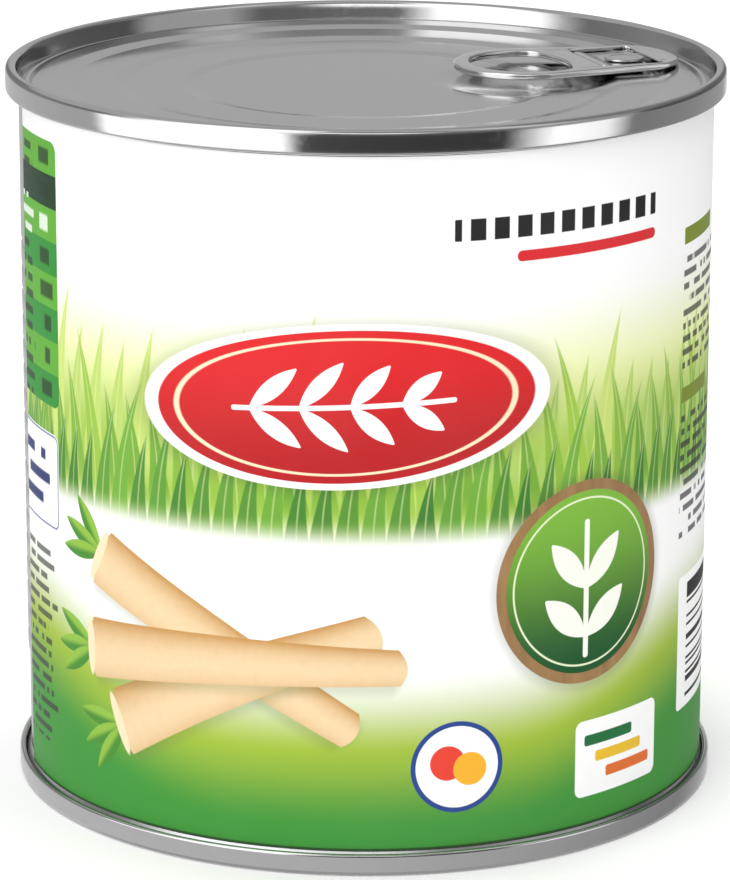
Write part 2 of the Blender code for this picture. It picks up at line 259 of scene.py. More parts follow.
def turned(name, section, steps, finish, press=None, sharp=None):
    """A closed section in millimetres, turned round Z; press moves the points of the result."""
    section = np.asarray(section, float)
    starts, vertices = [], []
    turn = np.arange(steps) * 2 * math.pi / steps
    for radius, height in section:
        starts.append(len(vertices))
        if radius < 1e-6:
            vertices.append((0.0, 0.0, height))
        else:
            ring = zip(radius * np.cos(turn), radius * np.sin(turn))
            vertices += [(x, y, height) for x, y in ring]
    faces = []
    count = len(section)
    for index in range(count):
        after = (index + 1) % count
        here_axis, after_axis = section[index, 0] < 1e-6, section[after, 0] < 1e-6
        if here_axis and after_axis:
            continue
        a, b = starts[index], starts[after]
        for step in range(steps):
            near, far = step, (step + 1) % steps
            if here_axis:
                faces.append((a, b + near, b + far))
            elif after_axis:
                faces.append((a + near, b, a + far))
            else:
                faces.append((a + near, b + near, b + far, a + far))
    vertices = np.array(vertices)
    if press:
        vertices = press(vertices)
    return mesh_object(name, vertices * MM, faces, finish, sharp)


CAN_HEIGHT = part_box("top_end")[1].z / MM
BODY_SHEET = 0.20
WALL = 49.45
BASE_WALL = 49.20
BEADS = 17
BEAD_PITCH = 3.63
BEAD_LOWEST = 21.3
BEAD_DEPTH = 0.36
BEAD_HALF_WIDTH = 0.78
BODY_STEPS = 160


def tinplate(name, level, roughness, lines, weld=False):
    """Bright tinned sheet: fine rolling lines, faint clouding, small scuffs, and on the body a weld."""
    made, place, shader = finish_of(name, {"Metallic": 1.0, "Base Color": (*level, 1.0)})
    cloud = grain(place, 55.0, 3.0)
    streak = grain(place, 900.0, 2.0, lines)
    fleck = grain(place, 420.0, 4.0).ramp(0.62, 0.74)
    tone = (cloud - 0.5) * 0.5 + (streak - 0.5) * 0.6 + 0.5
    dark = tuple(channel * 0.90 for channel in level)
    colour = mixed(tone, (*dark, 1.0), (*level, 1.0))
    if weld:
        x, y, _ = parts_of(place)
        lacquer = abs(y).ramp(5.2, 4.8) * x.ramp(0.0, -1.0)
        colour = mixed(lacquer * 0.5, colour, (0.42, 0.40, 0.34, 1))
        colour = mixed(abs(y).ramp(0.75, 0.55) * lacquer, colour, (0.16, 0.16, 0.17, 1))
    feed(shader, "Base Color", colour)
    feed(shader, "Roughness", roughness + (streak - 0.5) * 0.06 + (cloud - 0.5) * 0.05 + fleck * 0.05)
    feed(shader, "Normal", bumped(streak * 0.7 + cloud * 0.3, 0.000004))
    return made


body_middle = [(50.57, 2.0, 0), (50.57, 0.80, 0.25), (49.93, 0.80, 0.25), (49.93, 2.4, 0.3)]
body_middle += [(BASE_WALL, 3.5, 0.4), (BASE_WALL, 18.2, 1.0), (WALL, 18.9, 1.0)]
beads = []
for bead in range(BEADS):
    for share in (-1.0, -0.75, -0.5, -0.25, 0.0, 0.25, 0.5, 0.75, 1.0):
        inward = BEAD_DEPTH * (0.5 + 0.5 * math.cos(math.pi * share))
        beads.append((WALL - inward, BEAD_LOWEST + bead * BEAD_PITCH + share * BEAD_HALF_WIDTH, 0))
body_top = [(WALL, CAN_HEIGHT - 3.85, 0.3), (50.33, CAN_HEIGHT - 2.50, 0.3)]
body_top += [(50.33, CAN_HEIGHT - 0.80, 0.25), (50.97, CAN_HEIGHT - 0.80, 0.25), (50.97, CAN_HEIGHT - 2.0, 0)]
body_run = rounded(body_middle + beads + body_top)

body_finish = tinplate("welded tinplate", (0.66, 0.66, 0.67), 0.24, (1.0, 1.0, 0.02), weld=True)
can_body = turned("can_body_wall", sheet_section(body_run, BODY_SHEET), BODY_STEPS, body_finish)
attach(can_body, "root")
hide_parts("can_body")

# ---------------------------------------------------------------------------------------------------
# Easy-open end: a tinplate disc, seamed onto the body. It has a deep chuck wall, a countersink, a
# score line to tear along, shallow panel beads and a well pressed under the ring for a fingertip.
# ---------------------------------------------------------------------------------------------------
SEAM_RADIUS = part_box("top_end")[1].x / MM
END_SHEET = 0.22
TAB_AZIMUTH = math.radians(19.0)
WELL_REACH = 22.0
WELL_HALF_LENGTH = 12.5
WELL_ASIDE = -4.0
WELL_HALF_WIDTH = 13.0
WELL_DEPTH = 1.1
WELL_SOFTNESS = 1.4
RIVET_REACH = 39.7
ISLAND_RISE = 0.40
ISLAND_FOOT = 4.8
RIVET_HEAD = 2.9
RIVET_STEM = 1.9
END_STEPS = 256
TAB_COS, TAB_SIN = math.cos(TAB_AZIMUTH), math.sin(TAB_AZIMUTH)

top_run = [
    (50.65, 1.45, 0),
    (50.65, 3.42, 0.30),
    (SEAM_RADIUS - END_SHEET / 2, 3.42, 0.30),
    (SEAM_RADIUS - END_SHEET / 2, END_SHEET / 2, 0.62),
    (50.01, END_SHEET / 2, 0.55),
    (49.32, 3.20, 0.24),
    (48.86, 3.20, 0.20),
    (48.66, 2.55, 0.22),
    (48.18, 2.58, 0),
    (48.03, 2.70, 0),
    (47.88, 2.60, 0),
    (44.70, 2.77, 1.2),
    (42.20, 3.10, 1.2),
    (36.20, 3.10, 1.0),
    (33.90, 3.36, 1.0),
    (26.40, 3.37, 1.0),
    (24.40, 3.61, 1.0),
    (0.0, 3.61, 0),
]
end_middle = divided(rounded(top_run), 0.9)
end_middle[:, 1] = CAN_HEIGHT - end_middle[:, 1]
end_section = sheet_section(end_middle, END_SHEET)


def along_tab(points):
    """Distances out from the axis along the ring pull, and aside from it."""
    return points[:, 0] * TAB_COS + points[:, 1] * TAB_SIN, points[:, 1] * TAB_COS - points[:, 0] * TAB_SIN


def smooth(value, low, high):
    share = np.clip((value - low) / (high - low), 0.0, 1.0)
    return share * share * (3 - 2 * share)


def press_well(points):
    reach, aside = along_tab(points)
    spread = np.hypot((reach - WELL_REACH) / WELL_HALF_LENGTH, (aside - WELL_ASIDE) / WELL_HALF_WIDTH)
    points[:, 2] -= WELL_DEPTH * (1 - np.minimum(spread, 1.0) ** 2) ** WELL_SOFTNESS
    points[:, 2] += ISLAND_RISE * smooth(np.hypot(reach - RIVET_REACH, aside), ISLAND_FOOT, RIVET_HEAD)
    return points


end_finish = tinplate("end tinplate", (0.68, 0.68, 0.68), 0.11, (1.0, 0.02, 1.0))
top_end = turned("ring_pull_end", end_section, END_STEPS, end_finish, press_well)
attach(top_end, "root")
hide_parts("top_end")

# Rivet: a button of the end's own metal, drawn up through the ring pull's tongue and flattened over it.
rivet_low = CAN_HEIGHT - 2.65
rivet_run = rounded(
    [
        (0.0, rivet_low, 0),
        (RIVET_STEM, rivet_low, 0),
        (RIVET_STEM, rivet_low + 0.50, 0.08),
        (RIVET_HEAD, rivet_low + 0.50, 0.16),
        (RIVET_HEAD, rivet_low + 0.85, 0.20),
        (2.2, rivet_low + 0.85, 0.2),
        (RIVET_STEM, rivet_low + 0.74, 0.2),
        (0.0, rivet_low + 0.74, 0),
    ]
)


def to_rivet(points):
    points[:, 0] += RIVET_REACH * TAB_COS
    points[:, 1] += RIVET_REACH * TAB_SIN
    return points


rivet = turned("end_rivet", rivet_run, 48, end_finish, to_rivet)
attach(rivet, "root")

# ---------------------------------------------------------------------------------------------------
# Sealing compound: rubbery rings that flow in between each end's hook and the body's flange.
# ---------------------------------------------------------------------------------------------------
compound_finish, compound_place, compound_shader = finish_of("sealing compound", {"Roughness": 0.6})
compound_tone = grain(compound_place, 700.0, 3.0)
feed(compound_shader, "Base Color", mixed(compound_tone, (0.10, 0.11, 0.11, 1), (0.20, 0.21, 0.20, 1)))
for node in ("top_seam_compound", "bottom_seam_compound"):
    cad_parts[node].data.materials.clear()
    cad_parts[node].data.materials.append(compound_finish)

# ---------------------------------------------------------------------------------------------------
# Plain bottom end: the seam that the can stands on, a countersink and expansion rings, all pressed
# in one sheet.
# ---------------------------------------------------------------------------------------------------
base_run = [
    (50.25, 1.45, 0),
    (50.25, 2.99, 0.30),
    (50.89, 2.99, 0.30),
    (50.89, END_SHEET / 2, 0.60),
    (49.61, END_SHEET / 2, 0.55),
    (48.82, 3.95, 0.40),
    (48.00, 3.95, 0.35),
    (47.80, 3.20, 0.30),
    (43.60, 3.20, 0.8),
    (42.80, 2.60, 0.8),
    (38.20, 2.60, 0.8),
    (37.40, 3.20, 0.8),
    (31.60, 3.20, 0.8),
    (30.80, 2.60, 0.8),
    (26.20, 2.60, 0.8),
    (25.40, 3.20, 0.8),
    (0.0, 3.20, 0),
]
base_section = sheet_section(divided(rounded(base_run), 3.0), END_SHEET)
bottom_end = turned("plain_bottom_end", base_section, END_STEPS, end_finish)
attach(bottom_end, "root")
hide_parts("bottom_end")

# ---------------------------------------------------------------------------------------------------
# Tongue of the ring pull: the flap inside its window, held flat on the panel by the rivet. It bends
# up to the rest of the ring pull at the crease that the ring pull lifts on.
# ---------------------------------------------------------------------------------------------------
RING_TIP, NOSE_TIP = 13.9, 47.4
RING_HALF_WIDTH, NOSE_HALF_WIDTH = 10.3, 8.0
RING_ROUND, NOSE_ROUND = 10.5, 5.4
TAB_TOP = CAN_HEIGHT - 1.52
TAB_LOW = TAB_TOP - 0.80
WEB_TOP = TAB_TOP - 0.18
WEB_LOW = WEB_TOP - 0.32
CREASE = 33.45
WINDOW_START, WINDOW_END, WINDOW_HALF_WIDTH = 33.75, 43.1, 7.2
SLOT_WIDTH = 1.20
TONGUE_LOW = CAN_HEIGHT - 2.52
TONGUE_SHEET = 0.27
HEM_DROP = 0.25
TONGUE_START = 33.87
TONGUE_BEND = 34.3
TONGUE_FLAT = 37.0
RIVET_HOLE = 2.2


def box_loop(low, high, half_width, corner, steps=6):
    """A closed rectangle with rounded corners, in order round it."""
    points = []
    for quarter, (x, y) in enumerate(
        (
            (high - corner, half_width - corner),
            (low + corner, half_width - corner),
            (low + corner, corner - half_width),
            (high - corner, corner - half_width),
        )
    ):
        for step in range(steps + 1):
            turn = (quarter + step / steps) * math.pi / 2
            points.append((x + corner * math.cos(turn), y + corner * math.sin(turn)))
    return np.array(points)


def even_loop(loop, spacing):
    """The closed loop walked again in equal steps."""
    closed = np.concatenate([loop, loop[:1]])
    length = np.concatenate([[0], np.cumsum(np.linalg.norm(np.diff(closed, axis=0), axis=1))])
    count = max(12, round(length[-1] / spacing))
    at = np.arange(count) * length[-1] / count
    return np.stack([np.interp(at, length, closed[:, axis]) for axis in range(2)], 1)


def edge_distance(points, loop):
    """Distance of each point from a closed loop."""
    start, end = loop, np.roll(loop, -1, axis=0)
    run = end - start
    offset = points[:, None] - start[None]
    share = np.clip((offset * run).sum(2) / (run * run).sum(1), 0.0, 1.0)
    return np.linalg.norm(offset - share[..., None] * run, axis=2).min(1)


def inside(points, loop):
    """Which points lie inside a closed loop."""
    start, end = loop, np.roll(loop, -1, axis=0)
    crosses = (start[None, :, 1] > points[:, None, 1]) != (end[None, :, 1] > points[:, None, 1])
    rise = np.where(end[:, 1] == start[:, 1], 1e-12, end[:, 1] - start[:, 1])
    at = start[:, 0] + (points[:, None, 1] - start[:, 1]) * (end - start)[:, 0] / rise
    return (crosses & (points[:, None, 0] < at)).sum(1) % 2 == 1


def within(points, loops):
    """Which points lie inside the first loop and outside the others."""
    kept = inside(points, loops[0])
    for hole in loops[1:]:
        kept &= ~inside(points, hole)
    return kept


def plate_points(loops, offsets, spacing):
    """The loops' own points, then rows of points beside them at the offsets, then a grid over the rest."""
    rims = np.concatenate(loops)
    extra = []
    for loop in loops:
        tangent = np.roll(loop, -1, axis=0) - np.roll(loop, 1, axis=0)
        normal = np.stack([-tangent[:, 1], tangent[:, 0]], 1)
        normal /= np.linalg.norm(normal, axis=1)[:, None]
        if inside(loop[:1] + normal[:1] * 1e-3, loop)[0] != (loop is loops[0]):
            normal = -normal
        for offset in offsets:
            ring = loop + normal * offset
            near = np.min([edge_distance(ring, other) for other in loops], axis=0)
            extra.append(ring[near > offset * 0.97])
    low, high = rims.min(0), rims.max(0)
    rows = np.arange(low[1], high[1], spacing * 0.866 * 1.6)
    grid = [
        (x + (row % 2) * spacing * 0.8, y)
        for row, y in enumerate(rows)
        for x in np.arange(low[0], high[0], spacing * 1.6)
    ]
    grid = np.array(grid)
    near = np.min([edge_distance(grid, loop) for loop in loops], axis=0)
    extra.append(grid[near > offsets[-1] + spacing * 0.6])
    points = np.concatenate([rims] + extra)
    kept = within(points, loops)
    kept[: len(rims)] = True
    return points[kept]


def pressed_plate(name, loops, offsets, spacing, surfaces, finish):
    """A plate cut to closed loops, the first outside and the rest holes; surfaces gives, from points and
    their distance to each loop, the heights of its top and underside."""
    loops = [even_loop(loop, spacing) for loop in loops]
    points = plate_points(loops, offsets, spacing)
    edges, start = [], 0
    for loop in loops:
        edges += [(start + k, start + (k + 1) % len(loop)) for k in range(len(loop))]
        start += len(loop)
    found, _, triangles, *_ = delaunay_2d_cdt([Vector(p) for p in points], edges, [], 0, 1e-7)
    found = np.array([tuple(p) for p in found])
    corners = np.array(triangles)
    corners = corners[within(found[corners].mean(1), loops)]
    distances = [edge_distance(found, loop) for loop in loops]
    top, under = surfaces(found, distances)
    count = len(found)
    flipped = corners[:, ::-1] + count
    faces = [tuple(int(v) for v in face) for face in np.concatenate([corners, flipped])]
    sides = dict.fromkeys(pair for a, b, c in corners for pair in ((a, b), (b, c), (c, a)))
    for a, b in sides:
        if (b, a) not in sides:
            faces.append((int(b), int(a), int(a) + count, int(b) + count))
    x, y = found[:, 0], found[:, 1]
    plan = np.stack([x * TAB_COS - y * TAB_SIN, x * TAB_SIN + y * TAB_COS], 1)
    vertices = np.concatenate([np.column_stack([plan, top]), np.column_stack([plan, under])])
    return mesh_object(name, vertices * MM, faces, finish)


def worn_edge(distance, radius):
    """How far a rounded edge falls below the flat, at a distance from the rim."""
    inner_share = np.clip(1 - distance / radius, 0.0, 1.0)
    return radius * (1 - np.sqrt(np.maximum(1 - inner_share ** 2, 0.0)))


def tongue_heights(points, distances):
    rise = smooth(points[:, 0], TONGUE_FLAT, TONGUE_BEND)
    foot = TONGUE_LOW + (WEB_LOW - TONGUE_LOW) * rise
    crease = 0.06 * np.exp(-(((points[:, 0] - TONGUE_BEND - 0.3) / 0.16) ** 2))
    fall = worn_edge(np.minimum(distances[0], distances[1]), 0.08)
    return foot + TONGUE_SHEET - crease - fall, foot - crease + fall


def polished_tab():
    """Plated steel of the ring pull, polished by its press tools."""
    made, place, shader = finish_of("polished ring pull", {"Metallic": 1.0})
    cloud = grain(place, 160.0, 3.0)
    scratch = grain(place, 1500.0, 2.0, (1.0, 0.05, 1.0))
    feed(shader, "Base Color", mixed(cloud, (0.74, 0.74, 0.75, 1), (0.84, 0.84, 0.84, 1)))
    feed(shader, "Roughness", 0.12 + cloud * 0.06 + scratch.ramp(0.55, 0.8) * 0.08)
    feed(shader, "Normal", bumped(scratch, 0.000003))
    return made


tab_finish = polished_tab()
round_turn = np.linspace(0, 2 * math.pi, 48, endpoint=False)
rivet_hole = np.stack([RIVET_REACH + RIVET_HOLE * np.cos(round_turn), RIVET_HOLE * np.sin(round_turn)], 1)
tongue_loop = box_loop(TONGUE_START, WINDOW_END - SLOT_WIDTH, WINDOW_HALF_WIDTH - SLOT_WIDTH, 1.2)
tongue = pressed_plate(
    "ring_pull_tongue", [tongue_loop, rivet_hole], [0.04, 0.09], 0.35, tongue_heights, tab_finish
)
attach(tongue, "root")
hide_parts("tab_tongue")


# ---------------------------------------------------------------------------------------------------
# Ring pull: one strip of steel pressed to a ring and a solid nose, its edges curled under. It swings
# on the crease at its tongue until the nose meets the scored panel.
# ---------------------------------------------------------------------------------------------------
def tab_loop(count=180):
    """Outside of the ring pull in plan, from the round ring end to the blunt nose."""
    share = (1 - np.cos(np.linspace(0, math.pi, count))) / 2
    reach = RING_TIP + (NOSE_TIP - RING_TIP) * share
    straight = NOSE_TIP - NOSE_ROUND - RING_TIP - RING_ROUND
    along = np.clip((reach - RING_TIP - RING_ROUND) / straight, 0, 1)
    width = RING_HALF_WIDTH + (NOSE_HALF_WIDTH - RING_HALF_WIDTH) * along
    ring_lack = np.maximum(RING_TIP + RING_ROUND - reach, 0) / RING_ROUND
    nose_lack = np.maximum(reach - NOSE_TIP + NOSE_ROUND, 0) / NOSE_ROUND
    width = width * np.sqrt(np.maximum(1 - np.maximum(ring_lack, nose_lack) ** 2, 0))
    upper = np.stack([reach, width], 1)
    return np.concatenate([upper, (upper * (1, -1))[-2:0:-1]])


HOLE_TIP, HOLE_MIDDLE, HOLE_END = 16.4, 24.0, 30.3
HOLE_HALF_WIDTH = 8.4
HEM_WIDTH = 1.9
HOLE_HEM_WIDTH = 0.8
HEM_BLEND = 0.6
HEM_CROWN = 0.06


def finger_hole_loop(count=160):
    """The finger hole in plan: round at the ring end, blunt towards the crease."""
    turn = np.arange(count) * 2 * math.pi / count
    across, up = np.cos(turn), np.sin(turn)
    flat = np.where(across < 0, 1.0, 0.55)
    depth = np.where(across < 0, HOLE_MIDDLE - HOLE_TIP, HOLE_END - HOLE_MIDDLE)
    x = np.sign(across) * np.abs(across) ** flat * depth
    return np.stack([HOLE_MIDDLE + x, np.sign(up) * np.abs(up) ** 0.9 * HOLE_HALF_WIDTH], 1)


def tab_heights(points, distances):
    outer, hole, window = distances
    outer_hem = 1 - smooth(outer, HEM_WIDTH, HEM_WIDTH + HEM_BLEND)
    rim = np.maximum(outer_hem, 1 - smooth(hole, HOLE_HEM_WIDTH, HOLE_HEM_WIDTH + HEM_BLEND))
    crown = HEM_CROWN * (1 - np.clip(outer - 1.0, -1, 1) ** 2)
    top = WEB_TOP + (TAB_TOP - HEM_CROWN - WEB_TOP) * rim + crown * rim
    hem_low = TAB_LOW - HEM_DROP * smooth(points[:, 0], 45.5, 41.0)
    low = WEB_LOW + (hem_low - WEB_LOW) * rim
    crease = 0.05 * np.exp(-(((points[:, 0] - CREASE) / 0.14) ** 2)) * (1 - rim)
    fall = worn_edge(np.minimum(outer, hole), 0.32) + worn_edge(window, 0.20)
    return top - fall - crease, low + fall


window_loop = box_loop(WINDOW_START, WINDOW_END, WINDOW_HALF_WIDTH, 0.5)
pull_tab = pressed_plate(
    "ring_pull_tab",
    [tab_loop(), finger_hole_loop(), window_loop],
    [0.02, 0.08, 0.18, 0.32, 0.55, 0.85],
    0.33,
    tab_heights,
    tab_finish,
)
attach(pull_tab, "ring_pull")
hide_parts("pull_tab")

# ---------------------------------------------------------------------------------------------------
# Paper label: coated paper, printed and wrapped round the body, glued at its ends, which stop either
# side of the weld.
# ---------------------------------------------------------------------------------------------------
LABEL_RADIUS = 49.72
LABEL_SHEET = 0.10
LABEL_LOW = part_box("paper_label")[0].z / MM
LABEL_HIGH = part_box("paper_label")[1].z / MM
LABEL_START = math.radians(194.0)
LABEL_ANGLE = math.radians(332.0)
LABEL_COLUMNS, LABEL_ROWS = 332, 60
ARC = LABEL_RADIUS * math.pi / 180
FACE_PITCH = 144.0
FACE_MARGIN = 3.4
INK_EDGE = 0.07


def ink(red, green, blue):
    """A printed colour from 0 to 255 levels."""
    return tuple((level / 255) ** 2.2 for level in (red, green, blue)) + (1.0,)


def turned_axes(u, v, middle_u, middle_v, degrees):
    """Distances along and across a line through a point at an angle."""
    c, s = math.cos(math.radians(degrees)), math.sin(math.radians(degrees))
    u, v = u - middle_u, v - middle_v
    return u * c + v * s, v * c - u * s


def filled(distance, soft=INK_EDGE):
    """1 inside a printed shape, whose distance is below zero."""
    return distance.ramp(soft, -soft)


def oval(u, v, middle_u, middle_v, half_u, half_v):
    along, up = (u - middle_u) / half_u, (v - middle_v) / half_v
    return ((along * along + up * up).math("SQRT") - 1.0) * min(half_u, half_v)


def panel_shape(u, v, middle_u, middle_v, half_u, half_v, corner):
    """Distance to a rectangle with rounded corners."""
    along = (abs(u - middle_u) - (half_u - corner)).most(0.0)
    up = (abs(v - middle_v) - (half_v - corner)).most(0.0)
    return (along * along + up * up).math("SQRT") - corner


def leaf(u, v, middle_u, middle_v, degrees, length, width):
    """Distance to a leaf that starts at a point, and the distance across it."""
    along, across = turned_axes(u, v, middle_u, middle_v, degrees)
    share = (along / length).most(0.0).least(1.0)
    lens = abs(across) - share * (1.0 - share) * (4 * width)
    return lens.most(abs(along - length / 2) - length / 2 + 0.15), across


def blades(u, v, foot, height, pitch, lean, seed):
    """A row of upright blades: their print, and a random tone for each."""
    rise = (v - foot) / height
    bent = u - rise * rise * (lean * height) + seed * 3.7
    cell = (bent / pitch).math("FLOOR")
    draw = cell.node("ShaderNodeTexWhiteNoise", {"noise_dimensions": "1D"}, {"W": cell + seed * 17.0})
    reach = draw * 0.55 + 0.45
    across = abs(bent - (cell + 0.5) * pitch)
    narrow = (1.0 - rise / reach) * (pitch * 0.52)
    return filled(across - narrow, 0.12), draw, filled(across - 0.10, 0.12)


def lines_of_print(u, v, left, right, top, low, pitch, word):
    """Bars set like lines of small print."""
    row = ((top - v) / pitch).math("FLOOR")
    band = abs((top - v) / pitch - row - 0.5) - 0.24
    cell = (u / word).math("FLOOR")
    draw = row.node(
        "ShaderNodeTexWhiteNoise",
        {"noise_dimensions": "2D"},
        {"Vector": row.node("ShaderNodeCombineXYZ", None, {"X": cell, "Y": row})},
    )
    end = row.node("ShaderNodeTexWhiteNoise", {"noise_dimensions": "1D"}, {"W": row})
    block = panel_shape(u, v, (left + right) / 2, (top + low) / 2, (right - left) / 2, (top - low) / 2, 0.1)
    ragged = filled(u - right + end * (right - left) * 0.3)
    return filled(block) * filled(band, 0.06) * (draw - 0.22).ramp(-0.01, 0.01) * ragged


def root_print(place, colour, u, v, middle_u, middle_v, degrees, length, half_width):
    """A printed peeled root: tapered, lit along one side, with a cut end and faint rings."""
    along, across = turned_axes(u, v, middle_u, middle_v, degrees)
    share = (along / length).most(0.0).least(1.0)
    bend = (share * 3.1).math("SINE") * 1.3
    reach = (1.0 - share * 0.42) * half_width
    side = (across - bend) / reach
    bulge = side * side
    ends = abs(along - length / 2) - length / 2 + bulge * 1.1
    body = filled((abs(across - bend) - reach).most(ends))
    shade = (abs(side + 0.25) * 0.8).least(1.0)
    ring = grain(place, 900.0, 2.0) * 0.18
    tone = mixed(shade * shade + ring, ink(240, 212, 168), ink(196, 146, 84))
    shadow = filled((abs(across - bend + 1.1) - reach).most(ends), 1.2) * 0.35
    colour = mixed(shadow, colour, ink(110, 120, 70))
    colour = mixed(body, colour, tone)
    cut = filled(oval(along, across - bend, 0.3, 0.0, 0.8, half_width * 0.93))
    return mixed(cut, colour, ink(246, 224, 186))


paper_finish, paper_place, paper_shader = finish_of(
    "printed paper", {"Coat Roughness": 0.12, "Specular IOR Level": 0.12}
)
paper_x, paper_y, v = parts_of(paper_place)
turn_round = paper_x.math("ARCTAN2", -paper_y) * (180 / math.pi)
behind = (turn_round + 90.0).math("LESS_THAN", 0.0)
strip_u = (turn_round + behind * 360.0) * ARC
u = strip_u - strip_u.math("GREATER_THAN", FACE_PITCH / 2 + FACE_MARGIN) * FACE_PITCH
mottle = grain(paper_place, 60.0, 4.0)

# Ground: white, with leaves in a band across it and a green foot
art = mixed(v.ramp(83.0, 66.0) * v.ramp(46.0, 52.0), ink(253, 253, 253), ink(232, 240, 168))
art = mixed(v.ramp(72.0, 58.0) * v.ramp(47.0, 52.0) * 0.9, art, ink(150, 190, 60))
for foot, height, pitch, lean, seed, dark, light in (
    (53.0, 27.0, 4.6, 0.16, 1.0, (150, 190, 88), (205, 224, 120)),
    (50.0, 26.0, 4.1, -0.20, 2.0, (96, 156, 52), (160, 198, 70)),
    (47.0, 22.0, 3.5, 0.24, 3.0, (52, 118, 44), (116, 174, 60)),
):
    print_mask, tone, rib = blades(u, v, foot, height, pitch, lean, seed)
    fade = v.ramp(foot - 1.0, foot + 4.0)
    blade = mixed(tone, ink(*dark), ink(*light))
    blade = mixed(rib * 0.45, blade, ink(225, 236, 160))
    art = mixed(print_mask * fade, art, blade)
foot_rise = v - abs(u).ramp(20.0, 62.0) * 9.0
foot_green = mixed(foot_rise.ramp(6.0, 21.0), ink(60, 146, 56), ink(164, 190, 56))
art = mixed(foot_rise.ramp(31.0, 17.0), art, foot_green)

# Roots, crossed, with their leaf stubs
for middle_u, middle_v, degrees, length, half_width in (
    (-42.0, 41.0, -27.0, 46.0, 4.6),
    (-38.0, 17.0, 24.0, 44.0, 4.9),
    (-44.0, 27.0, 3.0, 50.0, 4.4),
):
    for fan in (-26.0, 4.0, 30.0):
        shape, across = leaf(u, v, middle_u + 1.0, middle_v, degrees + 180 + fan, 9.5, 1.3)
        art = mixed(filled(shape), art, mixed(filled(across, 0.5), ink(70, 138, 46), ink(140, 186, 66)))
    art = root_print(paper_place, art, u, v, middle_u, middle_v, degrees, length, half_width)

# Red plaque with a sprig
along, across = turned_axes(u, v, -3.0, 66.5, 3.0)
plaque = oval(along, across, 0.0, 0.0, 27.0, 10.6)
art = mixed(filled(plaque - 1.5, 1.4) * 0.35, art, ink(60, 70, 30))
art = mixed(filled(plaque - 0.9), art, ink(255, 255, 255))
red = mixed(across.ramp(-9.0, 8.0), ink(180, 18, 28), ink(218, 28, 36))
art = mixed(filled(plaque), art, red)
art = mixed(filled(abs(plaque + 1.2) - 0.17), art, ink(250, 226, 190))
art = mixed(filled(panel_shape(along, across, 0.0, 0.0, 15.5, 0.35, 0.3)), art, ink(255, 255, 255))
for base, turn_degrees, length in (
    (-13.0, 38.0, 9.0),
    (-13.0, -38.0, 9.0),
    (-6.0, 44.0, 9.0),
    (-6.0, -44.0, 9.0),
    (1.0, 44.0, 8.0),
    (1.0, -44.0, 8.0),
    (8.0, 36.0, 7.0),
    (8.0, -36.0, 7.0),
):
    shape, _ = leaf(along, across, base, 0.0, turn_degrees, length, 1.25)
    art = mixed(filled(shape), art, ink(255, 255, 255))

# Round green seal with a wooden rim
seal = oval(u, v, 33.0, 39.0, 14.6, 14.6)
art = mixed(filled(seal - 0.9, 1.1) * 0.3, art, ink(60, 60, 40))
wood = mixed(grain(paper_place, 500.0, 3.0, (1.0, 1.0, 0.2)), ink(118, 84, 50), ink(176, 138, 92))
art = mixed(filled(seal), art, wood)
seal_green = mixed(v.ramp(27.0, 51.0), ink(14, 84, 40), ink(122, 180, 58))
art = mixed(filled(seal + 1.5), art, seal_green)
art = mixed(filled(abs(seal + 2.6) - 0.14), art, ink(230, 240, 200))
for middle_v, degrees, length, width in (
    (31.0, 42.0, 9.5, 1.9),
    (31.0, 138.0, 9.5, 1.9),
    (38.0, 50.0, 9.5, 1.8),
    (38.0, 130.0, 9.5, 1.8),
):
    shape, _ = leaf(u, v, 33.0, middle_v, degrees, length, width)
    art = mixed(filled(shape), art, ink(248, 250, 238))
art = mixed(filled(panel_shape(u, v, 33.0, 38.0, 0.45, 10.0, 0.4)), art, ink(248, 250, 238))

# Two small badges at the foot
badge = oval(u, v, 13.0, 15.0, 6.6, 6.6)
art = mixed(filled(badge), art, ink(26, 66, 140))
art = mixed(filled(badge + 0.7), art, ink(255, 255, 255))
art = mixed(filled(oval(u, v, 11.6, 15.6, 2.5, 2.5)), art, ink(230, 60, 44))
art = mixed(filled(oval(u, v, 14.8, 14.6, 2.4, 2.4)), art, ink(244, 176, 40))
card = panel_shape(u, v, 40.0, 13.0, 8.5, 5.6, 1.2)
art = mixed(filled(card), art, ink(255, 255, 255))
for bar, colour in ((-2.6, (20, 110, 60)), (0.0, (236, 190, 40)), (2.6, (226, 110, 40))):
    stripe = panel_shape(u, v, 40.0 + bar * 0.8, 13.0 - bar, 4.8, 0.8, 0.4)
    art = mixed(filled(stripe), art, ink(*colour))

# Mark at the top right: a row of dark pips and a red bar under them
pip = abs((u / 3.4).math("FRACT") - 0.5) * 3.4
row = filled(panel_shape(u, v, 29.0, 90.5, 17.0, 1.5, 0.2)) * filled(pip - 1.1)
art = mixed(row, art, ink(28, 26, 30))
art = mixed(filled(panel_shape(u, v, 33.5, 86.4, 12.5, 0.75, 0.7)), art, ink(214, 32, 42))

